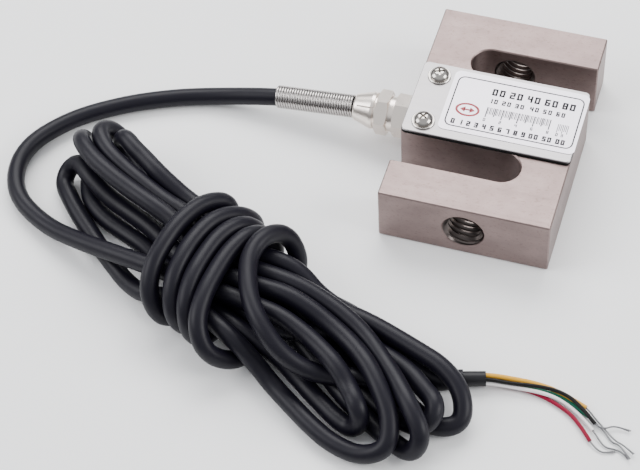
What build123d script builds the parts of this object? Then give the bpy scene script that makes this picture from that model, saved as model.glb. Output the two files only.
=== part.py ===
from build123d import *
import math
import os

os.makedirs("parts", exist_ok=True)

# ---------------------------------------------------------------- dimensions
# Frame: origin at the centre of the body's underside, +Z up through its
# thickness, the load axis along Y, the cable side towards -X.
body_w = 50.8            # X, across the load axis
body_l = 76.2            # Y, along the load axis
body_t = 19.05           # Z, thickness
arm_t = 13.3             # depth of each outer arm along Y
slot_w = 11.3            # width of each slot along Y
slot_end = 12.1          # how far past the middle each slot runs
edge_c = 0.35            # small chamfer along the outer edges
zc = body_t / 2.0        # height of every cross bore and of the gland

thread_r = 6.0           # M12 x 1.75, root radius of the tapped bore
thread_mouth_r = 6.5     # countersunk mouth of the tapped bore

cavity_r = 8.5           # the two gauge bores in the middle block
cavity_x = 8.8           # their distance from the middle
cavity_slot = 8.0        # width of the slot that joins them
pocket_l = 34.0          # shallow wiring pocket under each cover
pocket_w = 19.0
pocket_d = 2.2
gland_bore_r = 4.0       # tapped hole for the cable gland
gland_bore_depth = 8.6

gasket_t = 0.30
plate_t = 0.85
plate_y0, plate_y1 = -13.8, 14.2
plate_r = 1.6
label_t = 0.15
label_x0, label_x1 = -15.2, 25.7
label_y0, label_y1 = -10.7, 12.9
label_r = 1.8

screw_x = -19.65         # two cover screws at the cable end
screw_y = 9.2
screw_head_r = 2.85
screw_head_h = 1.75
screw_r = 1.45
screw_l = 6.5
washer_r = 3.5
washer_t = 0.5

rear_t = 1.2             # flush rear cover
rear_x = 23.0
rear_y = 12.2
rear_r = 3.0
rear_screw_x = 19.3
rear_screw_y = 8.6

cable_r = 2.7            # 5.4 mm jacket
gland_x0 = -body_w / 2.0
base_hex, base_len = 11.6, 5.4
neck_r, neck_len = 5.4, 1.7
nut_hex, nut_len = 12.0, 3.8
hex_turn = 14.0          # how the hexagons stand about the cable axis
collet_len = 7.2
spring_or = 3.55
spring_wire = 0.80
spring_turns = 30
spring_x0 = -43.2
spring_x1 = -68.6
spring_drop = 2.7

# route of the cable from inside the gland to the hank, all in mm
lead_points = [
    (-23.4, 0.0, zc), (-43.2, 0.0, zc), (-70.7, 0.0, 6.60), (-84.5, -0.6, 2.95),
    (-97.8, -4.3, 2.75), (-110.2, -9.7, 2.75), (-121.2, -16.4, 2.75),
    (-130.6, -24.6, 2.75), (-138.3, -36.2, 2.75), (-138.2, -49.7, 2.75),
    (-129.6, -59.9, 2.75), (-117.4, -65.4, 2.75), (-107.5, -68.5, 2.75),
]

# outline of the hank, along and across its own length
hank_turn = -28.61        # degrees, of the hank's own length about Z
hank_u = (math.cos(math.radians(hank_turn)), math.sin(math.radians(hank_turn)))
hank_near = [
    (-48.0, -115.6), (-34.0, -117.6), (2.0, -118.8), (9.0, -114.5),
    (16.0, -111.5), (26.0, -112.6), (36.0, -112.2), (46.0, -110.0), (53.0, -106.0),
    (59.0, -99.0), (62.8, -91.0), (62.5, -84.0), (60.5, -78.0), (56.5, -73.3),
]
hank_far = [
    (40.0, -63.6), (20.0, -64.9), (8.0, -65.2),
    (-2.0, -63.8), (-20.0, -62.3), (-36.0, -62.0), (-43.0, -66.0), (-50.0, -70.8),
    (-70.0, -72.5), (-82.0, -74.0), (-90.0, -77.5), (-93.0, -84.0), (-92.5, -92.0),
    (-91.0, -98.5), (-87.5, -103.3), (-78.0, -106.2), (-67.0, -108.6),
]
hank_mid = [
    (-58.0, -110.8), (-34.0, -115.2), (2.0, -116.2), (8.0, -108.0), (22.0, -98.0),
    (30.0, -86.0), (24.0, -72.0), (8.0, -67.6), (-2.0, -66.2), (-36.0, -64.6),
    (-50.0, -72.6), (-70.0, -74.6), (-84.0, -76.6), (-90.0, -82.0), (-88.0, -92.0),
    (-76.0, -100.0),
]
hank_wraps = [
    (-40.0, -108.0), (-30.0, -113.2), (2.0, -114.0), (10.0, -104.0), (14.0, -84.0),
    (6.0, -71.0), (-14.0, -68.6), (-34.0, -68.2), (-42.0, -76.0),
]
hank_h, hank_mid_h, hank_top_h = 11.5, 19.0, 22.6

# heat-shrink sleeve where the jacket ends, and the five cores out of it
sleeve_start = (11.5, -82.85, 2.6)
sleeve_end = (18.0, -81.0, 2.6)
sleeve_r, sleeve_bore_r, sleeve_bore_depth = 2.15, 1.82, 3.0
# name: radius, offset across and up from the sleeve's axis, further points
core_routes = {
    "core_yellow": (0.70, 0.75, 0.75, [(24.4, -79.1, 2.6), (31.3, -77.9, 1.5), (38.5, -78.2, 1.0), (46.5, -81.8, 0.8)]),
    "core_black": (0.55, -0.75, 0.80, [(24.9, -81.0, 3.0), (32.0, -79.9, 2.7), (38.5, -79.9, 2.1), (44.3, -82.1, 2.1),
                                       (50.0, -86.4, 1.2)]),
    "core_white": (0.55, -1.15, -0.40, [(26.0, -81.2, 1.85), (34.5, -80.7, 1.8), (40.2, -81.5, 0.85), (46.3, -85.0, 0.6),
                                        (49.85, -88.3, 0.6)]),
    "core_red": (0.55, 0.0, -0.95, [(25.5, -80.6, 0.6), (32.5, -81.3, 0.6), (38.5, -82.7, 0.6), (44.8, -85.8, 0.6),
                                    (49.8, -91.8, 0.6)]),
    "core_green": (0.55, 1.15, -0.45, [(26.0, -79.3, 0.6), (33.0, -79.4, 0.6), (38.5, -79.8, 0.6), (43.0, -81.7, 0.6),
                                       (47.7, -84.2, 0.6)]),
}
# stripped strands beyond each core, from the core's cut end
strand_r = 0.26
strand_routes = {
    "strands_yellow": ("core_yellow", [(49.4, -84.1, 0.5), (52.6, -86.7, 0.45), (56.4, -90.2, 0.9), (59.0, -90.8, 0.9),
                                       (62.4, -93.0, 0.6)]),
    "strands_black": ("core_black", [(53.0, -87.1, 1.1), (54.9, -85.6, 0.9), (57.6, -85.5, 0.7), (60.1, -85.8, 0.5)]),
    "strands_green": ("core_green", [(52.7, -87.4, 0.3), (55.5, -90.5, 0.3), (57.5, -90.6, 0.3),
                                     (59.8, -93.1, 0.9), (61.8, -95.4, 1.2)]),
    "strands_white": ("core_white", [(52.0, -90.6, 0.35), (54.2, -92.6, 0.3), (57.1, -92.3, 0.3), (59.7, -93.2, 0.3),
                                     (61.5, -94.9, 0.3)]),
    "strands_red": ("core_red", [(53.2, -94.3, 0.3), (55.3, -93.9, 0.3), (57.3, -93.0, 0.3)]),
}


def write(part, name):
    part.label = name
    export_step(part, "parts/" + name + ".step")


def turned(x, r_profile):
    """points of a half profile about the cable axis, in the XZ plane"""
    return [(px, zc + pr) for px, pr in r_profile]


cable_axis = Axis((0, 0, zc), (1, 0, 0))


def across(x):
    """plane square to the cable axis at x, looking out along -X"""
    return Plane(origin=(x, 0, zc), x_dir=(0, 1, 0), z_dir=(-1, 0, 0))


# ---------------------------------------------------------------- load body
half_w, half_l = body_w / 2.0, body_l / 2.0
front_y0 = -half_l + arm_t
front_y1 = front_y0 + slot_w
slot_r = slot_w / 2.0

with BuildPart() as load_body:
    with BuildSketch(Plane.XY):
        Rectangle(body_w, body_l)
        # front slot, open towards -X
        with Locations(((slot_end - slot_r - half_w) / 2.0 - 2.0, (front_y0 + front_y1) / 2.0)):
            Rectangle(slot_end - slot_r + half_w + 4.0, slot_w, mode=Mode.SUBTRACT)
        with Locations((slot_end - slot_r, (front_y0 + front_y1) / 2.0)):
            Circle(slot_r, mode=Mode.SUBTRACT)
        # rear slot, open towards +X
        with Locations((-(slot_end - slot_r - half_w) / 2.0 + 2.0, -(front_y0 + front_y1) / 2.0)):
            Rectangle(slot_end - slot_r + half_w + 4.0, slot_w, mode=Mode.SUBTRACT)
        with Locations((-(slot_end - slot_r), -(front_y0 + front_y1) / 2.0)):
            Circle(slot_r, mode=Mode.SUBTRACT)
    extrude(amount=body_t)
    rim = load_body.faces().filter_by(Axis.Z).edges()
    corners = load_body.edges().filter_by(Axis.Z).filter_by(
        lambda e: abs(abs(e.center().X) - half_w) < 0.01)
    chamfer(rim + corners, length=edge_c)

    # tapped bores for the load fittings, one in each arm, along Y
    for side in (-1, 1):
        with BuildSketch(Plane(origin=(0, side * (half_l + 1), zc), x_dir=(1, 0, 0), z_dir=(0, -side, 0))):
            Circle(thread_r)
        extrude(amount=arm_t + 2.0, mode=Mode.SUBTRACT)
        for y_face, out in ((side * half_l, side), (side * (half_l - arm_t), -side)):
            with BuildSketch(Plane.XY.offset(zc)):
                with BuildLine():
                    Polyline((thread_mouth_r, y_face + out * 0.01), (thread_r - 0.6, y_face + out * 0.01),
                             (thread_r - 0.6, y_face - out * (thread_mouth_r - thread_r + 0.6)), close=True)
                make_face()
            revolve(axis=Axis((0, 0, zc), (0, 1, 0)), revolution_arc=360, mode=Mode.SUBTRACT)

    # gauge cavity through the middle block, and the wiring pockets
    with BuildSketch(Plane.XY.offset(-1)):
        with Locations((-cavity_x, 0), (cavity_x, 0)):
            Circle(cavity_r)
        Rectangle(2 * cavity_x, cavity_slot)
    extrude(amount=body_t + 2, mode=Mode.SUBTRACT)
    with BuildSketch(Plane.XY.offset(body_t - pocket_d)):
        RectangleRounded(pocket_l, pocket_w, 3.0)
    extrude(amount=pocket_d + 1, mode=Mode.SUBTRACT)
    with BuildSketch(Plane.XY.offset(-1)):
        RectangleRounded(2 * rear_x, 2 * rear_y, rear_r)
    extrude(amount=rear_t + 1, mode=Mode.SUBTRACT)

    # threaded holes of the cover screws, front and rear
    with BuildSketch(Plane.XY.offset(body_t + 1)):
        with Locations((screw_x, -screw_y), (screw_x, screw_y)):
            Circle(screw_r + 0.05)
    extrude(amount=-(screw_l + 1.6), mode=Mode.SUBTRACT)
    with BuildSketch(Plane.XY.offset(-1)):
        with GridLocations(2 * rear_screw_x, 2 * rear_screw_y, 2, 2):
            Circle(1.25)
    extrude(amount=6.2, mode=Mode.SUBTRACT)

    # tapped hole for the gland and the wire passage behind it
    with BuildSketch(across(-half_w - 1)):
        Circle(gland_bore_r)
    extrude(amount=-(gland_bore_depth + 1), mode=Mode.SUBTRACT)
write(load_body.part, "load_body")

# ---------------------------------------------------------------- top cover
with BuildPart() as cover_gasket:
    with BuildSketch(Plane.XY.offset(body_t)):
        with Locations((0, (plate_y0 + plate_y1) / 2.0)):
            Rectangle(body_w - 1.6, plate_y1 - plate_y0 - 1.6)
        RectangleRounded(pocket_l + 1.0, pocket_w + 1.0, 3.4, mode=Mode.SUBTRACT)
        with Locations((screw_x, -screw_y), (screw_x, screw_y)):
            Circle(screw_r + 0.25, mode=Mode.SUBTRACT)
    extrude(amount=gasket_t)
write(cover_gasket.part, "cover_gasket")

plate_z = body_t + gasket_t
with BuildPart() as cover_plate:
    with BuildSketch(Plane.XY.offset(plate_z)):
        with Locations((0, (plate_y0 + plate_y1) / 2.0)):
            RectangleRounded(body_w, plate_y1 - plate_y0, plate_r)
        with Locations((screw_x, -screw_y), (screw_x, screw_y)):
            Circle(screw_r + 0.2, mode=Mode.SUBTRACT)
    extrude(amount=plate_t)
    chamfer(cover_plate.faces().sort_by(Axis.Z)[-1].outer_wire().edges(), length=0.2)
write(cover_plate.part, "cover_plate")

label_z = plate_z + plate_t
with BuildPart() as label:
    with BuildSketch(Plane.XY.offset(label_z)):
        with Locations(((label_x0 + label_x1) / 2.0, (label_y0 + label_y1) / 2.0)):
            RectangleRounded(label_x1 - label_x0, label_y1 - label_y0, label_r)
    extrude(amount=label_t)
write(label.part, "label")

with BuildPart() as cover_washers:
    with BuildSketch(Plane.XY.offset(label_z)):
        with Locations((screw_x, -screw_y), (screw_x, screw_y)):
            Circle(washer_r)
            Circle(screw_r + 0.15, mode=Mode.SUBTRACT)
    extrude(amount=washer_t)
    chamfer(cover_washers.faces().sort_by(Axis.Z)[-2:].edges().filter_by(
        lambda e: e.radius > 3.0), length=0.15)
write(cover_washers.part, "cover_washers")

head_z = label_z + washer_t
with BuildPart() as cover_screws:
    for sy in (-screw_y, screw_y):
        # pan head and shank turned about the screw's own axis
        with BuildSketch(Plane(origin=(screw_x, sy, 0), x_dir=(1, 0, 0), z_dir=(0, -1, 0))):
            with BuildLine():
                Polyline((0, head_z - screw_l), (screw_r - 0.3, head_z - screw_l),
                         (screw_r, head_z - screw_l + 0.4), (screw_r, head_z),
                         (screw_head_r, head_z), (screw_head_r, head_z + 0.55))
                ThreePointArc((screw_head_r, head_z + 0.55), (screw_head_r * 0.72, head_z + 1.42),
                              (0, head_z + screw_head_h))
                Line((0, head_z + screw_head_h), (0, head_z - screw_l))
            make_face()
        revolve(axis=Axis((screw_x, sy, 0), (0, 0, 1)), revolution_arc=360)
        # cross recess
        turn = 20 if sy > 0 else -32
        with BuildSketch(Plane.XY.offset(head_z + 0.55)):
            with Locations((screw_x, sy)):
                Rectangle(3.1, 0.62, rotation=turn)
                Rectangle(0.62, 3.1, rotation=turn)
        extrude(amount=2.0, mode=Mode.SUBTRACT)
write(cover_screws.part, "cover_screws")

# ---------------------------------------------------------------- rear cover
with BuildPart() as rear_cover:
    with BuildSketch(Plane.XY):
        RectangleRounded(2 * rear_x - 0.2, 2 * rear_y - 0.2, rear_r - 0.1)
    extrude(amount=rear_t)
    for sx in (-rear_screw_x, rear_screw_x):
        for sy in (-rear_screw_y, rear_screw_y):
            with BuildSketch(Plane(origin=(sx, sy, 0), x_dir=(1, 0, 0), z_dir=(0, -1, 0))):
                with BuildLine():
                    Polyline((0, -0.1), (2.35, -0.1), (2.25, 0.0), (1.3, 0.95), (1.3, rear_t + 0.1),
                             (0, rear_t + 0.1), close=True)
                make_face()
            revolve(axis=Axis((sx, sy, 0), (0, 0, 1)), revolution_arc=360, mode=Mode.SUBTRACT)
write(rear_cover.part, "rear_cover")

with BuildPart() as rear_cover_screws:
    for sx in (-rear_screw_x, rear_screw_x):
        for sy in (-rear_screw_y, rear_screw_y):
            with BuildSketch(Plane(origin=(sx, sy, 0), x_dir=(1, 0, 0), z_dir=(0, -1, 0))):
                with BuildLine():
                    Polyline((0, 0.05), (2.15, 0.05), (1.2, 1.0), (1.2, 4.9), (0, 4.9), close=True)
                make_face()
            revolve(axis=Axis((sx, sy, 0), (0, 0, 1)), revolution_arc=360)
            with BuildSketch(Plane.XY.offset(-0.1)):
                with Locations((sx, sy)):
                    Rectangle(2.2, 0.5)
                    Rectangle(0.5, 2.2)
            extrude(amount=0.85, mode=Mode.SUBTRACT)
write(rear_cover_screws.part, "rear_cover_screws")

# ---------------------------------------------------------------- inside the middle block
gauge_t, gauge_h, gauge_a = 0.15, 6.0, 22.0
with BuildPart() as strain_gauges:
    for cx in (-cavity_x, cavity_x):
        for a0 in (90.0, 270.0):
            with BuildSketch(Plane.XY.offset(zc - gauge_h / 2.0)):
                with BuildLine():
                    r_o, r_i = cavity_r, cavity_r - gauge_t
                    a1, a2 = math.radians(a0 - gauge_a), math.radians(a0 + gauge_a)
                    am = math.radians(a0)
                    o1 = (cx + r_o * math.cos(a1), r_o * math.sin(a1))
                    o2 = (cx + r_o * math.cos(a2), r_o * math.sin(a2))
                    i1 = (cx + r_i * math.cos(a1), r_i * math.sin(a1))
                    i2 = (cx + r_i * math.cos(a2), r_i * math.sin(a2))
                    ThreePointArc(o1, (cx + r_o * math.cos(am), r_o * math.sin(am)), o2)
                    Line(o2, i2)
                    ThreePointArc(i2, (cx + r_i * math.cos(am), r_i * math.sin(am)), i1)
                    Line(i1, o1)
                make_face()
            extrude(amount=gauge_h)
write(strain_gauges.part, "strain_gauges")

board_z = 13.0
terminal_y = [-3.0, -1.5, 0.0, 1.5, 3.0]
with BuildPart() as terminal_board:
    with BuildSketch(Plane.XY.offset(board_z)):
        Rectangle(9.0, cavity_slot)
    extrude(amount=0.8)
write(terminal_board.part, "terminal_board")

with BuildPart() as balance_resistors:
    with BuildSketch(Plane.XY.offset(board_z + 0.8)):
        with Locations((2.4, -1.3), (2.4, 0.6), (2.4, 3.3)):
            Rectangle(2.6, 1.3)
    extrude(amount=0.4)
write(balance_resistors.part, "balance_resistors")

with BuildPart() as solder_terminals:
    with BuildSketch(Plane.XY.offset(board_z + 0.8)):
        with Locations(*[(-2.4, y) for y in terminal_y]):
            Circle(0.55)
    extrude(amount=0.5)
write(solder_terminals.part, "solder_terminals")

with BuildPart() as gauge_leads:
    for cx, sx in ((-cavity_x, -1), (cavity_x, 1)):
        for sy in (-1, 1):
            # fine enamelled wire from a gauge in over the board
            p0 = (cx, sy * (cavity_r - gauge_t - 0.2), zc + gauge_h / 2.0 - 1.0)
            p1 = (cx, sy * (cavity_r - gauge_t - 0.3), board_z + 1.9)
            p2 = (cx - sx * 4.5, sy * 2.25, board_z + 2.5)
            p3 = (cx - sx * 8.2, sy * 2.25, board_z + 1.0)
            with BuildLine() as wire_path:
                FilletPolyline(p0, p1, p2, p3, radius=[1.2, 0.8])
            with BuildSketch(Plane(origin=p0, z_dir=wire_path.line % 0)):
                Circle(0.2)
            sweep(path=wire_path.line)
write(gauge_leads.part, "gauge_leads")

with BuildPart() as inner_cores:
    ring = [(-1.24, 0.4), (-0.76, -1.05), (0.0, 1.3), (0.76, -1.05), (1.24, 0.4)]
    for (ry, rz), ty in zip(ring, terminal_y):
        q0 = (-23.4, ry, zc + rz)
        q1 = (-14.0, ry, zc + rz)
        q2 = (-7.6, ty, board_z + 1.35)
        q3 = (-2.95, ty, board_z + 1.35)
        with BuildLine() as core_path:
            FilletPolyline(q0, q1, q2, q3, radius=2.0)
        with BuildSketch(Plane(origin=q0, z_dir=core_path.line % 0)):
            Circle(0.45)
        sweep(path=core_path.line)
write(inner_cores.part, "inner_cores")

# ---------------------------------------------------------------- cable gland
x_a = gland_x0                       # face of the block
x_b = x_a - base_len                 # end of the hexagon
x_c = x_b - neck_len                 # end of the neck
x_d = x_c - nut_len                  # end of the nut
x_e = x_d - collet_len               # end of the collet

with BuildPart() as gland_body:
    with BuildSketch(across(x_a)):
        RegularPolygon(base_hex / 2.0, 6, major_radius=False, rotation=hex_turn)
    extrude(amount=base_len)
    # turned shoulders take the corners off the hexagon
    with BuildSketch(Plane.XZ):
        with BuildLine():
            Polyline(*turned(0, [(x_a - base_len + 0.0, 5.95), (x_a - base_len + 0.9, 8.0), (x_a - base_len - 1.0, 8.0),
                                 (x_a - base_len - 1.0, 5.95)]), close=True)
        make_face()
    revolve(axis=cable_axis, revolution_arc=360, mode=Mode.SUBTRACT)
    # spigot into the block, neck, threaded barrel
    with BuildSketch(Plane.XZ):
        with BuildLine():
            Polyline(*turned(0, [(x_a + 6.0, 0), (x_a + 6.0, gland_bore_r - 0.4), (x_a + 5.4, gland_bore_r),
                                 (x_a, gland_bore_r), (x_a - 0.5, gland_bore_r), (x_b, gland_bore_r),
                                 (x_b, neck_r), (x_c, neck_r), (x_c, 4.2), (x_d + 0.6, 4.2), (x_d + 0.6, 0)]), close=True)
        make_face()
    revolve(axis=cable_axis, revolution_arc=360)
    # cable bore, opened out at the front for the seal
    with BuildSketch(Plane.XZ):
        with BuildLine():
            Polyline(*turned(0, [(x_a + 7.0, 0), (x_a + 7.0, 2.4), (x_a + 2.0, 2.4), (x_a + 2.0, 2.95),
                                 (x_c + 0.9, 2.95), (x_c + 0.3, 3.6), (x_d + 0.6, 3.6), (x_d - 1.0, 3.6), (x_d - 1.0, 0)]), close=True)
        make_face()
    revolve(axis=cable_axis, revolution_arc=360, mode=Mode.SUBTRACT)
write(gland_body.part, "gland_body")

with BuildPart() as gland_seal:
    with BuildSketch(Plane.XZ):
        with BuildLine():
            Polyline(*turned(0, [(x_c + 0.2, cable_r + 0.03), (x_c + 0.2, 3.55), (x_d + 0.7, 3.55), (x_d + 0.3, 3.3),
                                 (x_d + 0.3, cable_r + 0.03)]), close=True)
        make_face()
    revolve(axis=cable_axis, revolution_arc=360)
write(gland_seal.part, "gland_seal")

with BuildPart() as gland_nut:
    with BuildSketch(across(x_c)):
        RegularPolygon(nut_hex / 2.0, 6, major_radius=False, rotation=hex_turn)
        Circle(4.25, mode=Mode.SUBTRACT)
    extrude(amount=nut_len)
    with BuildSketch(Plane.XZ):
        with BuildLine():
            Polyline(*turned(0, [(x_d, 6.05), (x_d + 0.9, 8.0), (x_d - 1.0, 8.0), (x_d - 1.0, 6.05)]), close=True)
        make_face()
    revolve(axis=cable_axis, revolution_arc=360, mode=Mode.SUBTRACT)
    with BuildSketch(Plane.XZ):
        with BuildLine():
            Polyline(*turned(0, [(x_c, 6.2), (x_c - 0.8, 8.0), (x_c + 1.0, 8.0), (x_c + 1.0, 6.2)]), close=True)
        make_face()
    revolve(axis=cable_axis, revolution_arc=360, mode=Mode.SUBTRACT)
write(gland_nut.part, "gland_nut")

slot_angle = 35.0
with BuildPart() as gland_collet:
    with BuildSketch(Plane.XZ):
        with BuildLine():
            Polyline(*turned(0, [(x_d, 3.1), (x_d, 4.9), (x_d - 0.8, 4.9), (x_d - 0.8, 5.55), (x_d - 1.7, 5.7),
                                 (x_e + 0.4, 4.1), (x_e, 3.85), (x_e, spring_or + 0.1),
                                 (x_e + 1.0, spring_or + 0.1), (x_e + 1.0, 3.1)]), close=True)
        make_face()
    revolve(axis=cable_axis, revolution_arc=360)
    # saw cuts that let the cone close on the cable
    for k in range(4):
        with BuildSketch(across(x_d - 0.8)):
            with PolarLocations(5.4, 1, start_angle=180 - slot_angle + 90 * k):
                Rectangle(2.6, 0.5)
        extrude(amount=collet_len - 2.0, mode=Mode.SUBTRACT)
write(gland_collet.part, "gland_collet")

# close-wound spring that guards the cable, a little tilted by the cable's weight
spring_run = math.hypot(spring_x0 - spring_x1, spring_drop)
spring_pitch = spring_run / (spring_turns + 1.0)
spring_dir = Vector(spring_x1 - spring_x0, 0, -spring_drop).normalized()
with BuildPart() as strain_spring:
    coil = Helix(pitch=spring_pitch, height=spring_run - spring_wire, radius=spring_or - spring_wire * 0.35)
    with BuildSketch(Plane(origin=coil @ 0, x_dir=(1, 0, 0), z_dir=coil % 0)):
        Ellipse(spring_wire * 0.35, spring_wire * 0.47)
    sweep(path=coil, is_frenet=True)
spring_at = Vector(spring_x0, 0, zc) + spring_dir * (spring_wire / 2.0)
spring_plane = Plane(origin=spring_at, x_dir=(0, 1, 0), z_dir=spring_dir)
strain_spring_part = spring_plane.location * strain_spring.part
write(strain_spring_part, "strain_spring")
print("strain_spring valid", strain_spring_part.is_valid, "volume", round(strain_spring_part.volume, 2))


# ---------------------------------------------------------------- cable
def cord_radii(points):
    """0.45 of the shorter run, over the tangent of half the turn, at each corner"""
    radii = []
    for a, b, c in zip(points, points[1:], points[2:]):
        v1, v2 = Vector(*b) - Vector(*a), Vector(*c) - Vector(*b)
        turn = math.radians(v1.get_angle(v2))
        radii.append(0.45 * min(v1.length, v2.length) / math.tan(turn / 2.0))
    return radii


def report_cord(name, points, radii, r, part, length):
    runs = [(Vector(*b) - Vector(*a)).length for a, b in zip(points, points[1:])]
    print(name, "runs", [round(x, 1) for x in runs], "radii", [round(x, 1) for x in radii],
          "smallest", round(min(radii) / (2 * r), 1), "diameters; length", round(length, 1),
          "volume", round(part.volume, 1), "of", round(math.pi * r * r * length, 1), "valid", part.is_valid)


def wire_length(line):
    return sum(e.length for e in line.edges())


lead_radii = cord_radii(lead_points)
with BuildPart() as cable_lead:
    with BuildLine() as lead_path:
        FilletPolyline(*lead_points, radius=lead_radii)
    with BuildSketch(Plane(origin=lead_points[0], z_dir=lead_path.line % 0)):
        Circle(cable_r)
    sweep(path=lead_path.line)
write(cable_lead.part, "cable_lead")
report_cord("cable_lead", lead_points, lead_radii, cable_r, cable_lead.part, wire_length(lead_path.line))


def facet(point, heading, half):
    """two corners of a flat that stands square to a heading, in the hank's own axes"""
    n = (-heading.Y, heading.X)
    corners = []
    for s in (-half, half):
        x, y = point[0] + s * n[0], point[1] + s * n[1]
        corners.append((x * hank_u[0] + y * hank_u[1], -x * hank_u[1] + y * hank_u[0]))
    return corners


lead_heading = (Vector(*lead_points[-1]) - Vector(*lead_points[-2])).normalized()
sleeve_heading = (Vector(*sleeve_end) - Vector(*sleeve_start)).normalized()
hank_outline = facet(lead_points[-1], lead_heading, 3.1)[::-1]
hank_outline = hank_outline[1:] + hank_near + facet(sleeve_start, sleeve_heading, 2.8) + hank_far + hank_outline[:1]
print("hank outline", [(round(u, 1), round(v, 1)) for u, v in hank_outline])

hank_plane = Plane(origin=(0, 0, 0), x_dir=(hank_u[0], hank_u[1], 0), z_dir=(0, 0, 1))
with BuildPart() as cable_hank:
    with BuildSketch(hank_plane):
        with BuildLine():
            Polyline(*hank_outline, close=True)
        make_face()
    extrude(amount=hank_h)
    with BuildSketch(hank_plane):
        with BuildLine():
            Polyline(*hank_mid, close=True)
        make_face()
    extrude(amount=hank_mid_h)
    with BuildSketch(hank_plane):
        with BuildLine():
            Polyline(*hank_wraps, close=True)
        make_face()
    extrude(amount=hank_top_h)
    chamfer(cable_hank.faces().filter_by(Axis.Z).sort_by(Axis.Z)[-1].outer_wire().edges(), length=2.2)
write(cable_hank.part, "cable_hank")
print("cable_hank valid", cable_hank.part.is_valid, "volume", round(cable_hank.part.volume, 1))

# ---------------------------------------------------------------- sleeve, cores, strands
sleeve_len = (Vector(*sleeve_end) - Vector(*sleeve_start)).length
with BuildPart() as end_sleeve:
    with BuildSketch(Plane(origin=sleeve_start, z_dir=sleeve_heading)):
        Circle(sleeve_r)
    extrude(amount=sleeve_len)
    with BuildSketch(Plane(origin=sleeve_end, z_dir=-sleeve_heading)):
        Circle(sleeve_bore_r)
    extrude(amount=sleeve_bore_depth, mode=Mode.SUBTRACT)
write(end_sleeve.part, "end_sleeve")

sleeve_side = Vector(-sleeve_heading.Y, sleeve_heading.X, 0)
bore_floor = Vector(*sleeve_end) - sleeve_heading * sleeve_bore_depth


def tube(name, points, r):
    radii = cord_radii(points)
    with BuildPart() as cord:
        with BuildLine() as path:
            FilletPolyline(*points, radius=radii)
        with BuildSketch(Plane(origin=points[0], z_dir=path.line % 0)):
            Circle(r)
        sweep(path=path.line)
    write(cord.part, name)
    report_cord(name, points, radii, r, cord.part, wire_length(path.line))
    return path.line


core_tips = {}
for name, (r, across_by, up_by, points) in core_routes.items():
    start = bore_floor + sleeve_side * across_by + Vector(0, 0, up_by)
    leave = start + sleeve_heading * 3.6
    line = tube(name, [(start.X, start.Y, start.Z), (leave.X, leave.Y, leave.Z)] + points, r)
    core_tips[name] = (line @ 1, line % 1)

for name, (core, points) in strand_routes.items():
    tip, heading = core_tips[core]
    leave = tip + heading * 1.2
    tube(name, [(tip.X, tip.Y, tip.Z), (leave.X, leave.Y, leave.Z)] + points, strand_r)
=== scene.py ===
import bpy
import math
import random
from mathutils import Matrix, Vector


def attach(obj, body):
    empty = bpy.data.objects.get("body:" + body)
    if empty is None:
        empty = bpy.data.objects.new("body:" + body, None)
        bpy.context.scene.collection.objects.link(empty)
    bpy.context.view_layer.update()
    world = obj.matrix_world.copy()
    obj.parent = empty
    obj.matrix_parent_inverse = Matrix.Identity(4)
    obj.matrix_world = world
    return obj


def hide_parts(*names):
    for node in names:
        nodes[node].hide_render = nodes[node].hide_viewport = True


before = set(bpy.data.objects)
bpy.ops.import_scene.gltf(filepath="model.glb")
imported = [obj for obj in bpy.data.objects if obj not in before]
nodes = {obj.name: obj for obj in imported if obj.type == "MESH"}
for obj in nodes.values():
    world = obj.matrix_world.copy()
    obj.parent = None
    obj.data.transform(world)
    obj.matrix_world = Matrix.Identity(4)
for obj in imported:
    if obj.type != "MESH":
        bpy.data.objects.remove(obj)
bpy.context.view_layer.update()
random.seed(7)
MM = 0.001


# ------------------------------------------------------------------ camera
cam_data = bpy.data.cameras.new("camera")
cam_data.sensor_width = 36.0
cam_data.lens = 113.04
cam_data.clip_start, cam_data.clip_end = 0.01, 20.0
camera = bpy.data.objects.new("camera", cam_data)
bpy.context.collection.objects.link(camera)
right = Vector((0.95461, 0.29492, -0.04166))
up = Vector((-0.20874, 0.76222, 0.61273))
back = Vector((0.21247, -0.57622, 0.78919))
camera.matrix_world = Matrix((
    (right.x, up.x, back.x, 0.08404),
    (right.y, up.y, back.y, -0.38466),
    (right.z, up.z, back.z, 0.46774),
    (0, 0, 0, 1)))
bpy.context.scene.camera = camera


# ------------------------------------------------------------------ helpers
def link(obj):
    bpy.context.collection.objects.link(obj)
    return obj


def nurbs(name, points, radius=0.0, res=8, ring=7):
    """One open NURBS spline through a cord's route, points in millimetres."""
    data = bpy.data.curves.new(name, "CURVE")
    data.dimensions = "3D"
    data.resolution_u = res
    data.bevel_depth = radius * MM
    data.bevel_resolution = ring
    data.use_fill_caps = radius > 0
    spline = data.splines.new("NURBS")
    spline.points.add(len(points) - 1)
    for p, (x, y, z) in zip(spline.points, points):
        p.co = (x * MM, y * MM, z * MM, 1.0)
    spline.order_u = 3
    spline.use_endpoint_u = True
    return link(bpy.data.objects.new(name, data))


def along(obj):
    """The points of a cord's spline, in metres, read from the spline itself."""
    data = obj.data.copy()
    data.bevel_depth = 0.0
    bare = link(bpy.data.objects.new("bare", data))
    bpy.context.view_layer.update()
    dg = bpy.context.evaluated_depsgraph_get()
    mesh = bpy.data.meshes.new_from_object(bare.evaluated_get(dg))
    points = [v.co.copy() for v in mesh.vertices]
    bpy.data.objects.remove(bare)
    bpy.data.meshes.remove(mesh)
    return points


def mesh_object(name, verts, faces, smooth=True):
    mesh = bpy.data.meshes.new(name)
    mesh.from_pydata([tuple(v) for v in verts], [], faces)
    mesh.validate()
    if smooth:
        mesh.shade_smooth()
    return link(bpy.data.objects.new(name, mesh))


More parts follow.
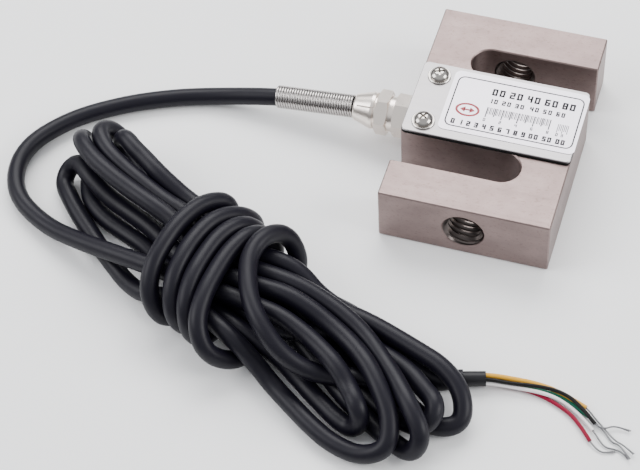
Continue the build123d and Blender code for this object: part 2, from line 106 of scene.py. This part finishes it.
def frames_along(points):
    """Tangent and two side vectors at each point, turned as little as can be."""
    tangents = []
    for i in range(len(points)):
        a, b = points[max(i - 1, 0)], points[min(i + 1, len(points) - 1)]
        tangents.append((b - a).normalized())
    side = tangents[0].cross(Vector((0, 0, 1)))
    side = (side if side.length > 1e-3 else Vector((1, 0, 0))).normalized()
    out = []
    for t in tangents:
        side = (side - t * side.dot(t)).normalized()
        out.append((t, side, t.cross(side)))
    return out


def tube_mesh(verts, faces, points, radius, sides=8, caps=True):
    """Adds a round tube along points, radius in metres, number or one per point."""
    radii = radius if isinstance(radius, list) else [radius] * len(points)
    first = len(verts)
    for p, (t, s, u), r in zip(points, frames_along(points), radii):
        for k in range(sides):
            a = 2 * math.pi * k / sides
            verts.append(p + s * (r * math.cos(a)) + u * (r * math.sin(a)))
    for i in range(len(points) - 1):
        for k in range(sides):
            a, b = first + i * sides + k, first + i * sides + (k + 1) % sides
            faces.append((a, b, b + sides, a + sides))
    if caps:
        faces.append(tuple(first + k for k in range(sides))[::-1])
        last = first + (len(points) - 1) * sides
        faces.append(tuple(last + k for k in range(sides)))


# ------------------------------------------------------------------ cords
CABLE_D = 5.4
CABLE = [
    (-23.4, 0.0, 9.5), (-33.0, 0.0, 9.5), (-41.5, 0.0, 9.5), (-46.5, 0.0, 9.2), (-58.0, 0.0, 8.0),
    (-68.8, -0.1, 6.8), (-87.2, -1.3, 3.0), (-101.2, -5.4, 2.7), (-116.0, -12.7, 2.8), (-129.9, -23.2, 2.9),
    (-138.9, -38.1, 3.2), (-135.4, -53.8, 2.6), (-121.1, -63.4, 2.9), (-106.7, -68.8, 6.6), (-92.9, -72.8, 10.2),
    (-80.4, -76.0, 12.5), (-69.0, -78.2, 13.5), (-58.6, -80.0, 13.7), (-49.1, -81.7, 14.0), (-40.4, -83.6, 14.5),
    (-32.9, -86.8, 13.7), (-26.2, -90.7, 13.4), (-20.4, -95.2, 13.7), (-15.9, -99.4, 11.3), (-12.0, -104.6, 12.1),
    (-10.2, -107.0, 7.4), (-13.1, -107.3, 3.4), (-18.2, -104.9, 3.3), (-22.0, -102.1, 2.8), (-26.4, -99.0, 2.6),
    (-31.8, -95.1, 2.8), (-38.1, -91.3, 4.8), (-45.5, -89.3, 8.0), (-53.1, -86.7, 9.1), (-60.6, -82.4, 8.4),
    (-68.7, -78.0, 8.1), (-76.2, -73.7, 7.2), (-82.6, -68.8, 5.3), (-88.5, -63.8, 3.8), (-95.8, -60.1, 2.8),
    (-103.7, -56.7, 2.7), (-110.5, -51.9, 3.0), (-114.3, -44.6, 2.5), (-116.0, -36.9, 4.4), (-117.9, -34.2, 10.8),
    (-117.6, -38.7, 15.9), (-111.2, -45.3, 16.9), (-103.4, -49.9, 16.6), (-95.7, -53.6, 16.4), (-87.9, -57.1, 16.4),
    (-80.3, -60.1, 15.3), (-73.6, -65.0, 13.9), (-66.4, -70.8, 13.8), (-58.0, -74.8, 14.5), (-49.1, -76.1, 15.4),
    (-40.8, -77.0, 16.0), (-33.4, -79.0, 14.8), (-26.3, -82.0, 13.2), (-19.1, -86.2, 12.8), (-12.6, -92.0, 13.5),
    (-7.2, -98.6, 12.7), (-2.3, -105.4, 10.4), (-1.1, -112.5, 6.5), (-8.0, -114.8, 3.1), (-16.9, -112.7, 2.6),
    (-24.4, -108.7, 2.8), (-31.4, -103.8, 2.7), (-38.2, -99.1, 2.7), (-43.8, -95.7, 5.8), (-49.6, -93.4, 10.7),
    (-57.5, -89.5, 12.2), (-66.0, -84.5, 11.0), (-74.8, -81.6, 8.0), (-83.1, -80.6, 4.9), (-89.7, -76.9, 3.1),
    (-96.1, -71.6, 2.7), (-102.6, -66.2, 2.8), (-108.5, -60.7, 2.9), (-113.7, -55.9, 3.2), (-117.9, -51.2, 3.2),
    (-121.7, -46.6, 2.3), (-121.4, -42.4, 4.6), (-117.7, -41.6, 8.4), (-113.3, -45.8, 9.1), (-108.6, -49.2, 8.2),
    (-102.5, -52.5, 7.1), (-95.3, -55.6, 7.0), (-87.8, -59.4, 7.5), (-81.0, -64.2, 8.0), (-74.2, -68.6, 8.1),
    (-67.0, -72.8, 7.9), (-59.1, -77.2, 8.0), (-50.9, -81.7, 8.6), (-42.4, -84.8, 8.8), (-34.2, -83.8, 8.9),
    (-26.3, -80.7, 8.0), (-18.5, -79.6, 5.9), (-12.3, -81.9, 5.6), (-6.6, -84.9, 6.5), (-1.3, -88.3, 7.8),
    (3.4, -92.6, 8.5), (7.9, -96.9, 10.0), (8.4, -100.9, 8.5), (5.4, -103.5, 6.2), (0.3, -102.0, 4.8),
    (-5.9, -99.0, 3.0), (-12.5, -94.3, 2.5), (-18.5, -89.2, 3.1), (-24.9, -83.9, 2.6), (-31.4, -79.2, 2.8),
    (-38.0, -75.1, 5.7), (-45.1, -72.3, 8.5), (-52.5, -69.1, 8.5), (-59.7, -65.1, 8.1), (-67.0, -60.6, 7.8),
    (-74.0, -55.2, 6.6), (-80.3, -49.8, 4.7), (-86.6, -44.6, 3.1), (-93.1, -39.4, 2.5), (-99.7, -34.4, 3.4),
    (-106.0, -30.4, 6.9), (-111.2, -29.6, 12.2), (-113.3, -34.2, 15.9), (-108.6, -40.7, 15.8), (-101.1, -45.3, 14.9),
    (-93.6, -49.1, 14.2), (-86.0, -52.8, 13.5), (-77.7, -55.7, 13.3), (-70.5, -60.4, 13.7), (-63.3, -66.4, 14.1),
    (-55.4, -69.9, 14.4), (-46.7, -70.9, 14.5), (-38.6, -72.2, 14.4), (-30.8, -74.4, 13.2), (-23.1, -77.6, 12.3),
    (-16.1, -81.9, 11.3), (-9.9, -87.8, 11.1), (-3.8, -94.3, 11.8), (2.1, -101.9, 12.9), (7.3, -108.0, 10.0),
    (5.3, -110.8, 3.6), (-1.1, -107.9, 2.6), (-9.7, -103.0, 2.8), (-17.8, -97.5, 2.7), (-24.8, -91.4, 2.7),
    (-31.7, -85.7, 2.6), (-38.1, -81.2, 3.8), (-44.0, -78.5, 8.1), (-50.4, -75.9, 9.7), (-57.7, -72.2, 9.6),
    (-65.4, -67.8, 9.4), (-72.7, -63.0, 8.8), (-79.4, -57.6, 7.5), (-85.6, -52.3, 5.4), (-91.1, -47.7, 4.1),
    (-96.7, -43.5, 5.1), (-101.3, -38.9, 6.7), (-105.6, -35.6, 8.6), (-106.4, -34.2, 13.4), (-104.0, -35.6, 17.0),
    (-100.0, -38.8, 16.7), (-96.2, -40.9, 16.0), (-91.8, -44.1, 15.9), (-86.3, -46.8, 14.1), (-80.1, -49.3, 11.8),
    (-72.2, -52.6, 11.3), (-64.8, -58.6, 12.3), (-56.6, -64.1, 13.2), (-48.1, -65.2, 14.6), (-40.3, -66.3, 12.9),
    (-33.6, -70.2, 9.2), (-25.8, -73.2, 8.2), (-17.4, -75.2, 8.5), (-9.3, -77.9, 8.4), (-1.4, -80.9, 8.4),
    (6.5, -84.2, 8.8), (13.5, -89.6, 7.1), (15.9, -97.3, 3.5), (9.3, -100.5, 2.5), (1.9, -96.8, 3.1),
    (-5.4, -93.6, 6.1), (-13.6, -93.3, 8.6), (-22.1, -95.2, 7.7), (-29.6, -96.3, 10.1), (-36.6, -95.6, 14.7),
    (-42.8, -91.5, 18.4), (-48.1, -85.2, 19.9), (-51.6, -77.7, 20.5), (-53.4, -70.0, 20.9), (-51.2, -62.2, 21.1),
    (-46.6, -56.6, 16.1), (-42.6, -58.6, 7.5), (-43.6, -63.4, 2.6), (-45.3, -71.8, 2.7), (-46.2, -81.6, 2.7),
    (-47.7, -90.1, 2.7), (-51.7, -96.5, 5.1), (-57.7, -99.0, 11.2), (-61.4, -93.9, 16.9), (-61.7, -85.7, 19.3),
    (-60.9, -77.3, 19.7), (-59.3, -69.1, 19.8), (-56.0, -61.3, 18.9), (-51.6, -57.1, 13.4), (-50.2, -57.5, 6.0),
    (-52.3, -62.6, 2.6), (-55.6, -71.7, 2.8), (-58.5, -81.9, 2.7), (-61.3, -90.2, 4.2), (-64.3, -93.0, 9.3),
    (-66.6, -88.9, 16.2), (-66.9, -80.9, 19.3), (-65.8, -72.5, 19.5), (-63.8, -64.3, 19.5), (-59.7, -57.5, 17.5),
    (-55.8, -54.4, 10.9), (-55.1, -55.5, 4.0), (-57.7, -61.5, 2.6), (-61.1, -71.3, 2.8), (-64.0, -81.5, 2.6),
    (-67.1, -88.7, 5.0), (-70.4, -89.7, 11.1), (-72.3, -83.7, 17.1), (-71.9, -75.5, 19.5), (-70.5, -67.2, 19.6),
    (-67.4, -59.0, 19.1), (-62.1, -52.5, 14.8), (-58.3, -49.7, 7.8), (-60.4, -53.6, 2.7), (-64.8, -63.2, 2.7),
    (-68.2, -74.0, 2.7), (-71.2, -83.3, 2.7), (-75.1, -88.0, 6.1), (-79.1, -85.7, 12.9), (-79.6, -78.7, 18.0),
    (-78.2, -70.8, 19.8), (-76.3, -62.8, 20.2), (-72.7, -54.1, 18.6), (-67.3, -48.3, 14.2), (-65.3, -52.3, 8.3),
    (-60.2, -58.6, 8.2), (-51.7, -63.3, 8.8), (-43.6, -67.2, 8.5), (-36.5, -68.3, 4.8), (-28.7, -68.4, 2.9),
    (-20.9, -71.0, 2.7), (-13.4, -75.0, 2.7), (-6.4, -79.9, 2.8), (0.2, -83.9, 2.6), (5.5, -85.7, 2.6),
    (8.9, -83.8, 2.6), (12.0, -82.7, 2.6),
]

CORES = {
    "yellow": (1.40, [(15.3, -81.0, 3.35), (18.9, -80.0, 3.35), (24.4, -79.1, 2.6), (31.3, -78.0, 1.4), (38.5, -78.5, 0.8),
                      (46.5, -81.8, 0.8)]),
    "black": (1.10, [(14.9, -82.5, 3.4), (18.4, -81.5, 3.4), (24.9, -81.0, 3.0), (32.0, -79.6, 2.7), (38.5, -79.2, 2.2),
                     (44.3, -81.6, 2.1), (50.0, -86.4, 1.2)]),
    "white": (1.10, [(14.8, -82.9, 2.2), (18.2, -81.9, 2.2), (26.0, -81.2, 1.85), (34.5, -80.7, 1.8), (40.2, -81.5, 0.85),
                     (46.3, -85.0, 0.6), (49.85, -88.3, 0.6)]),
    "red": (1.10, [(15.1, -81.8, 1.65), (18.6, -80.8, 1.65), (25.5, -80.2, 0.6), (32.5, -80.7, 0.6), (38.3, -82.5, 0.6),
                   (44.8, -85.8, 0.6), (49.8, -91.8, 0.6)]),
    "green": (1.10, [(15.4, -80.7, 2.15), (18.9, -79.7, 2.15), (26.0, -79.05, 0.6), (33.0, -79.4, 0.6), (38.5, -79.8, 0.6),
                     (43.0, -81.7, 0.6), (47.7, -84.2, 0.6)]),
}
STRANDS = {
    "yellow": [(46.1, -81.5, 0.8), (47.6, -82.4, 0.7), (49.4, -84.1, 0.5), (52.6, -86.7, 0.45), (56.4, -90.2, 0.9), (59.0, -90.8, 0.9),
               (62.4, -93.0, 0.6)],
    "black": [(49.5, -86.0, 1.2), (51.0, -87.1, 1.15), (53.0, -87.1, 1.1), (54.9, -85.6, 0.9), (57.6, -85.5, 0.7), (60.1, -85.8, 0.5)],
    "green": [(47.2, -84.0, 0.6), (48.8, -84.8, 0.55), (52.7, -87.4, 0.35), (55.5, -90.5, 0.3), (57.5, -90.6, 0.3), (59.8, -93.1, 0.9),
              (61.8, -95.4, 1.2)],
    "white": [(49.4, -87.9, 0.6), (50.7, -89.1, 0.55), (52.0, -90.6, 0.4), (54.2, -92.6, 0.3), (57.1, -92.3, 0.3), (59.7, -93.2, 0.3),
              (61.5, -94.9, 0.3)],
    "red": [(49.4, -91.3, 0.6), (50.6, -92.7, 0.55), (53.2, -94.3, 0.3), (55.3, -93.9, 0.3), (57.3, -93.0, 0.3)],
}

cable = nurbs("cable", CABLE, CABLE_D / 2, res=7, ring=7)
cores = {c: nurbs("core_wire_" + c, pts, d / 2, res=8, ring=4) for c, (d, pts) in CORES.items()}


def twisted(name, route, count=7, wire=0.16, lay=2.6):
    """A stripped end: fine tinned wires laid round the line of their own spline."""
    guide = nurbs(name + "_line", route, res=14)
    line = along(guide)
    bpy.data.objects.remove(guide)
    fr = frames_along(line)
    dist = [0.0]
    for a, b in zip(line, line[1:]):
        dist.append(dist[-1] + (b - a).length / MM)
    total = dist[-1]
    verts, faces = [], []
    rnd = random.Random(name)
    for k in range(count):
        short = rnd.uniform(0.0, 1.1)
        phase = 2 * math.pi * k / (count - 1)
        spread = 0.0 if k == count - 1 else 0.17
        pts = []
        for p, (t, s, u), at in zip(line, fr, dist):
            if at > total - short:
                break
            loose = 1.0 + 1.1 * max(0.0, (at - total + 3.5) / 3.5) ** 2 * rnd.uniform(0.9, 1.1)
            a = phase + 2 * math.pi * at / lay
            pts.append(p + (s * math.cos(a) + u * math.sin(a)) * (spread * loose * MM))
        tube_mesh(verts, faces, pts, wire / 2 * MM, sides=6)
    return mesh_object(name, verts, faces)


strands = {c: twisted("stripped_" + c, route) for c, route in STRANDS.items()}

# ------------------------------------------------------------------ threads in the two arms
def thread(name, y_mouth, y_inner, turn=0.0, pitch=1.75, root=6.03, crest=5.15):
    """Ridges of a right-hand internal thread, run out at both chamfered mouths."""
    step, verts, faces = 48, [], []
    lo, hi = min(y_mouth, y_inner), max(y_mouth, y_inner)
    n = int((hi - lo) / pitch * step)
    for i in range(n + 1):
        y = lo + (hi - lo) * i / n
        a = 2 * math.pi * (y - lo) / pitch + turn
        for w, r in ((-0.86, root), (-0.16, crest), (-0.16, crest), (0.16, crest), (0.16, crest), (0.86, root)):
            yy = min(max(y + w, lo + 0.02), hi - 0.02)
            depth = min(yy - lo, hi - yy)
            rr = min(root, max(r, 6.5 - depth))
            verts.append((rr * math.sin(a) * MM, yy * MM, (9.525 + rr * math.cos(a)) * MM))
    for i in range(n):
        for k in (0, 2, 4):
            a = i * 6 + k
            faces.append((a, a + 1, a + 7, a + 6))
    return mesh_object(name, verts, faces)


threads = [thread("thread_front", -38.1, -24.8, 0.4), thread("thread_rear", 24.8, 38.1, 2.0)]

# ------------------------------------------------------------------ print on the label
LABEL_TOP = 20.35


class Ink:
    """Flat printed shapes, gathered into one thin mesh."""

    def __init__(self, name, z=LABEL_TOP + 0.012, thick=0.012):
        self.name, self.z, self.thick, self.verts, self.faces = name, z, thick, [], []

    def poly(self, pts):
        n, first = len(pts), len(self.verts)
        for z in (self.z - self.thick, self.z):
            self.verts += [(x * MM, y * MM, z * MM) for x, y in pts]
        self.faces.append(tuple(first + n + k for k in range(n)))
        self.faces.append(tuple(first + k for k in range(n))[::-1])
        for k in range(n):
            j = (k + 1) % n
            self.faces.append((first + k, first + j, first + n + j, first + n + k))

    def bar(self, x0, y0, x1, y1):
        self.poly([(x0, y0), (x1, y0), (x1, y1), (x0, y1)])

    def ring(self, path, width):
        """A closed line of even width along a path of points."""
        n = len(path)
        out = []
        for k in range(n):
            a, b, c = Vector(path[k - 1]), Vector(path[k]), Vector(path[(k + 1) % n])
            m = ((b - a).normalized() + (c - b).normalized()).normalized()
            out.append(Vector((m.y, -m.x)) * width / 2)
        for k in range(n):
            j = (k + 1) % n
            a, b = Vector(path[k]), Vector(path[j])
            self.poly([tuple(a + out[k]), tuple(b + out[j]), tuple(b - out[j]), tuple(a - out[k])])

    def number(self, text, x, y, h, w=0.62, t=0.17, gap=0.28):
        """Plain upright numerals of straight strokes, h tall, starting at x on the line y."""
        seg = {"0": "abcdef", "1": "bc", "2": "abged", "3": "abgcd", "4": "fgbc", "5": "afgcd", "6": "afgedc", "7": "abc",
               "8": "abcdefg", "9": "abcdfg", "-": "g"}
        ww, tt = w * h, t * h
        for ch in text:
            if ch == " ":
                x += ww * 0.75
                continue
            if ch == ".":
                self.bar(x, y, x + tt, y + tt)
                x += tt + gap * h * 0.7
                continue
            for s in seg[ch]:
                if s == "a":
                    self.bar(x, y + h - tt, x + ww, y + h)
                if s == "d":
                    self.bar(x, y, x + ww, y + tt)
                if s == "g":
                    self.bar(x, y + (h - tt) / 2, x + ww, y + (h + tt) / 2)
                if s == "b":
                    self.bar(x + ww - tt, y + h / 2, x + ww, y + h)
                if s == "c":
                    self.bar(x + ww - tt, y, x + ww, y + h / 2)
                if s == "f":
                    self.bar(x, y + h / 2, x + tt, y + h)
                if s == "e":
                    self.bar(x, y, x + tt, y + h / 2)
            x += ww + gap * h
        return x

    def made(self):
        return mesh_object(self.name, self.verts, self.faces, smooth=False)


def rounded(x0, y0, x1, y1, r, n=6):
    pts = []
    for cx, cy, a0 in ((x1 - r, y1 - r, 0), (x0 + r, y1 - r, 90), (x0 + r, y0 + r, 180), (x1 - r, y0 + r, 270)):
        for k in range(n + 1):
            a = math.radians(a0 + 90.0 * k / n)
            pts.append((cx + r * math.cos(a), cy + r * math.sin(a)))
    return pts


black = Ink("label_print")
black.ring(rounded(-13.6, -8.8, 24.5, 10.8, 2.0), 0.42)
x = -2.7
for n in "0 2 4 6 8".split():
    black.number(n + "0", x, 5.7, 2.6, w=0.62, t=0.23, gap=0.24)
    x += 5.3
x = black.number("10 20 30", -2.9, 2.5, 1.75, t=0.24)
black.number("40 50 60", x + 1.3, 2.5, 1.75, t=0.24)
for k in range(41):
    long = 4.0 if k % 10 == 0 else (3.3 if k % 5 == 0 else 2.7)
    black.bar(-2.7 + k * 0.475, 0.8 - long, -2.7 + k * 0.475 + (0.34 if k % 5 == 0 else (0.16 if k % 2 else 0.27)), 0.8)
for k in range(5):
    black.number(str(k * 2), -2.9 + k * 4.75, -4.75, 1.15, t=0.2)
for k in range(7):
    long = 3.4 if k % 3 == 0 else 2.6
    black.bar(18.9 + k * 0.5, -0.2 - long, 18.9 + k * 0.5 + 0.22, -0.2)
black.number("0 3", 18.9, -4.95, 1.15, t=0.2)
x = black.number("0 1 2 3 4 5 6 7 8 9", -11.9, -7.9, 1.95, w=0.6, t=0.25, gap=0.16)
black.number("00 50 00", x + 0.7, -7.9, 1.95, w=0.6, t=0.25, gap=0.2)
print_black = black.made()

red = Ink("label_mark")
red.ring([(-8.2 + 3.3 * math.cos(a), -1.7 + 2.25 * math.sin(a)) for a in [2 * math.pi * k / 40 for k in range(40)]], 0.72)
red.bar(-8.2 - 1.0, -2.0, -8.2 + 1.0, -1.4)
red.poly([(-10.5, -1.7), (-8.9, -2.8), (-8.9, -0.6)])
red.poly([(-5.9, -1.7), (-7.5, -0.6), (-7.5, -2.8)])
print_red = red.made()


# ------------------------------------------------------------------ the cover gasket's squeezed-out lip, dark rubber that also paints the shade line under the plate's edge
def gasket_lip_shade_line():
    outer = [Vector(p) for p in rounded(-25.46, -14.05, 25.46, 14.26, 1.75)]
    inner = [Vector(p) for p in rounded(-24.6, -13.0, 24.6, 13.4, 0.8)]
    verts, faces, n = [], [], len(outer)
    for loop, z in ((inner, 19.06), (outer, 19.06), (outer, 19.48), (inner, 19.34)):
        verts += [(p.x * MM, p.y * MM, z * MM) for p in loop]
    for k in range(n):
        j = (k + 1) % n
        for row in range(4):
            a, b = row * n, (row + 1) % 4 * n
            faces.append((a + k, a + j, b + j, b + k))
    return mesh_object("gasket_lip_shade_line", verts, faces, smooth=False)


# ------------------------------------------------------------------ materials
class Shade:
    """One procedural material; sockets hold a value or a node's output."""

    def __init__(self, name, color=(0.8, 0.8, 0.8), metallic=0.0, roughness=0.5, **more):
        self.mat = bpy.data.materials.new(name)
        self.mat.use_nodes = True
        self.tree = self.mat.node_tree
        self.bsdf = self.tree.nodes["Principled BSDF"]
        self.set("Base Color", (*color, 1.0))
        self.set("Metallic", metallic)
        self.set("Roughness", roughness)
        for key, value in more.items():
            self.set(key.replace("_", " "), value)

    def set(self, socket, value):
        if isinstance(value, bpy.types.NodeSocket):
            self.tree.links.new(value, self.bsdf.inputs[socket])
        else:
            self.bsdf.inputs[socket].default_value = value

    def node(self, kind, **inputs):
        n = self.tree.nodes.new(kind)
        for key, value in inputs.items():
            key = int(key[1:]) if key[0] == "_" else key.replace("_", " ")
            if isinstance(value, bpy.types.NodeSocket):
                self.tree.links.new(value, n.inputs[key])
            else:
                n.inputs[key].default_value = value
        return n

    def coords(self, scale=(1, 1, 1), turn=(0, 0, 0)):
        tc = self.tree.nodes.new("ShaderNodeTexCoord")
        m = self.node("ShaderNodeMapping", Vector=tc.outputs["Object"], Scale=scale, Rotation=turn)
        return m.outputs["Vector"]

    def noise(self, scale, vector, detail=3.0, rough=0.55):
        return self.node("ShaderNodeTexNoise", Vector=vector, Scale=scale, Detail=detail, Roughness=rough).outputs["Fac"]

    def ramp(self, fac, stops):
        n = self.node("ShaderNodeValToRGB", Fac=fac)
        e = n.color_ramp.elements
        while len(e) < len(stops):
            e.new(0.5)
        for el, (at, col) in zip(e, stops):
            el.position = at
            el.color = (*col, 1.0) if len(col) == 3 else col
        return n.outputs["Color"]

    def span(self, fac, lo, hi):
        n = self.node("ShaderNodeMapRange", Value=fac, To_Min=lo, To_Max=hi)
        return n.outputs["Result"]

    def bump(self, height, strength, distance=0.0001, normal=None):
        extra = {"Normal": normal} if normal is not None else {}
        n = self.node("ShaderNodeBump", Height=height, Strength=strength, Distance=distance, **extra)
        self.set("Normal", n.outputs["Normal"])
        return n.outputs["Normal"]


def paint(obj, shade):
    data = obj.data
    data.materials.clear()
    data.materials.append(shade.mat)


# ground, nickel-plated steel: fine grain along X, faint mottling and small marks
steel = Shade("nickelled_steel", metallic=1.0, roughness=0.4)
grain = steel.noise(1.0, steel.coords((60, 2600, 2600)), detail=4.0, rough=0.7)
blotch = steel.noise(1.0, steel.coords((120, 190, 190)), detail=3.0)
marks = steel.noise(1.0, steel.coords((900, 1500, 1500)), detail=2.0, rough=0.6)
tint = steel.ramp(blotch, [(0.3, (0.204, 0.153, 0.145)), (0.7, (0.254, 0.193, 0.183))])
worn = steel.ramp(marks, [(0.57, (1.0, 1.0, 1.0)), (0.68, (0.84, 0.82, 0.80))])
mixed = steel.node("ShaderNodeMixRGB", Fac=1.0, Color1=tint, Color2=worn)
mixed.blend_type = "MULTIPLY"
steel.set("Base Color", mixed.outputs["Color"])
steel.set("Roughness", steel.span(grain, 0.34, 0.52))
steel.bump(grain, 0.35, 0.00003)

# the body's steel made darker for the threads: painted shade inside the tapped holes
thread_steel_painted_shade = Shade("thread_steel_painted_shade", (0.115, 0.098, 0.092), metallic=1.0, roughness=0.3)

plate = Shade("satin_aluminium", (0.31, 0.295, 0.30), metallic=1.0, roughness=0.34)
plate_grain = plate.noise(1.0, plate.coords((50, 2200, 2200)), detail=3.0)
plate.set("Roughness", plate.span(plate_grain, 0.28, 0.42))
plate.bump(plate_grain, 0.15, 0.00002)

film = Shade("label_film", (0.84, 0.82, 0.88), metallic=0.85, roughness=0.36)
film_cloud = film.noise(1.0, film.coords((60, 60, 60)), detail=2.0)
film.set("Base Color", film.ramp(film_cloud, [(0.2, (0.52, 0.495, 0.54)), (0.8, (0.56, 0.535, 0.58))]))

ink_black = Shade("ink_black", (0.008, 0.008, 0.01), roughness=0.5)
ink_black.set("Specular IOR Level", 0.2)
ink_red = Shade("ink_red", (0.30, 0.008, 0.02), roughness=0.5)

screw_metal = Shade("screw_metal", (0.42, 0.395, 0.37), metallic=1.0, roughness=0.15)
screw_noise = screw_metal.noise(1.0, screw_metal.coords((900, 900, 900)), detail=3.0)
screw_metal.set("Roughness", screw_metal.span(screw_noise, 0.10, 0.20))

gland_metal = Shade("nickelled_brass", (0.88, 0.80, 0.73), metallic=1.0, roughness=0.2)
gland_noise = gland_metal.noise(1.0, gland_metal.coords((500, 500, 500)), detail=3.0)
gland_metal.set("Roughness", gland_metal.span(gland_noise, 0.22, 0.38))

spring_metal = Shade("spring_wire", (0.46, 0.435, 0.42), metallic=1.0, roughness=0.2)
spring_noise = spring_metal.noise(1.0, spring_metal.coords((700, 700, 700)), detail=2.0)
spring_metal.set("Roughness", spring_metal.span(spring_noise, 0.14, 0.26))

rubber = Shade("seal_rubber", (0.005, 0.005, 0.005), roughness=0.7)
rubber.set("Specular IOR Level", 0.15)

jacket = Shade("cable_jacket", (0.0040, 0.0034, 0.0078), roughness=0.45, Specular_IOR_Level=0.22)
skin = jacket.noise(1.0, jacket.coords((1500, 1500, 1500)), detail=3.0, rough=0.6)
smear = jacket.noise(1.0, jacket.coords((130, 130, 130)), detail=3.0)
jacket.set("Roughness", jacket.span(smear, 0.36, 0.52))
jacket.bump(skin, 0.12, 0.00004)

shrink = Shade("shrink_sleeve", (0.006, 0.0055, 0.008), roughness=0.45, Specular_IOR_Level=0.3)
shrink_skin = shrink.noise(1.0, shrink.coords((500, 500, 500)), detail=2.0)
shrink.bump(shrink_skin, 0.2, 0.00008)

core_paint = {
    "yellow": Shade("core_yellow", (0.66, 0.34, 0.03), roughness=0.42, Specular_IOR_Level=0.2),
    "black": Shade("core_black", (0.005, 0.004, 0.004), roughness=0.42, Specular_IOR_Level=0.2),
    "white": Shade("core_white", (0.78, 0.75, 0.75), roughness=0.38),
    "red": Shade("core_red", (0.21, 0.002, 0.025), roughness=0.42, Specular_IOR_Level=0.15),
    "green": Shade("core_green", (0.004, 0.115, 0.065), roughness=0.42, Specular_IOR_Level=0.2),
}
tinned = Shade("tinned_copper", (0.26, 0.26, 0.27), metallic=1.0, roughness=0.28)
gauge_film = Shade("gauge_film", (0.6, 0.32, 0.06), roughness=0.4)
board = Shade("board", (0.02, 0.16, 0.06), roughness=0.5)
resistor = Shade("resistor", (0.04, 0.04, 0.05), roughness=0.5)
solder = Shade("solder", (0.7, 0.7, 0.72), metallic=1.0, roughness=0.25)
enamel = Shade("enamelled_wire", (0.55, 0.22, 0.08), metallic=1.0, roughness=0.3)
grey_core = Shade("inner_core", (0.5, 0.5, 0.5), roughness=0.5)

for name, shade in {
        "load_body": steel, "cover_gasket": rubber, "cover_plate": plate, "label": film, "cover_screws": screw_metal,
        "cover_washers": screw_metal, "rear_cover": plate, "rear_cover_screws": screw_metal, "strain_gauges": gauge_film,
        "terminal_board": board, "balance_resistors": resistor, "solder_terminals": solder, "gauge_leads": enamel,
        "inner_cores": grey_core, "gland_body": gland_metal, "gland_seal": rubber, "gland_nut": gland_metal,
        "gland_collet": gland_metal, "strain_spring": spring_metal, "end_sleeve": shrink}.items():
    paint(nodes[name], shade)
for t in threads:
    paint(t, thread_steel_painted_shade)
    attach(t, "root")
# the dark lip is partly gasket rubber and partly painted shade along the cover plate's lower edge
shade_lip = gasket_lip_shade_line()
paint(shade_lip, rubber)
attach(shade_lip, "root")
paint(print_black, ink_black)
paint(print_red, ink_red)
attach(print_black, "root")
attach(print_red, "root")

paint(cable, jacket)
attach(cable, "root")
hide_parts("cable_lead", "cable_hank")
for c, obj in cores.items():
    paint(obj, core_paint[c])
    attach(obj, "root")
    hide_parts("core_" + c)
    paint(strands[c], tinned)
    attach(strands[c], "root")
    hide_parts("strands_" + c)


# ------------------------------------------------------------------ stage and light
floor = mesh_object("floor", [(-3, -3, -0.0002), (3, -3, -0.0002), (3, 3, -0.0002), (-3, 3, -0.0002)], [(0, 1, 2, 3)], smooth=False)
floor_shade = Shade("floor_white", (0.93, 0.93, 0.93), roughness=0.9)
floor_shade.set("Specular IOR Level", 0.1)
paint(floor, floor_shade)

world = bpy.data.worlds.new("world")
world.use_nodes = True
sky = world.node_tree
rise = sky.nodes.new("ShaderNodeSeparateXYZ")
sky.links.new(sky.nodes.new("ShaderNodeTexCoord").outputs["Generated"], rise.inputs["Vector"])
fade = sky.nodes.new("ShaderNodeValToRGB")
fade.color_ramp.elements[0].position, fade.color_ramp.elements[0].color = 0.08, (0.08, 0.08, 0.09, 1.0)
fade.color_ramp.elements[1].position, fade.color_ramp.elements[1].color = 0.6, (0.95, 0.97, 1.0, 1.0)
sky.links.new(rise.outputs["Z"], fade.inputs["Fac"])
sky.links.new(fade.outputs["Color"], sky.nodes["Background"].inputs["Color"])
sky.nodes["Background"].inputs["Strength"].default_value = 1.0
bpy.context.scene.world = world


def area(name, at, aim, size, power, color=(1, 1, 1)):
    data = bpy.data.lights.new(name, "AREA")
    data.shape = "RECTANGLE"
    data.size, data.size_y = size
    data.energy = power
    data.color = color
    obj = link(bpy.data.objects.new(name, data))
    obj.location = at
    obj.rotation_mode = "QUATERNION"
    obj.rotation_quaternion = (Vector(aim) - Vector(at)).to_track_quat("-Z", "Y")
    return obj


area("back_box", (-0.27, 0.75, 0.98), (-0.02, 0, 0), (1.05, 0.75), 19.5)
area("left_box", (-0.92, -0.30, 0.68), (-0.06, -0.05, 0), (0.7, 0.7), 9.0, (0.98, 0.98, 1.0))
area("right_box", (0.95, 0.05, 0.6), (0, 0, 0), (0.6, 0.6), 10.0)
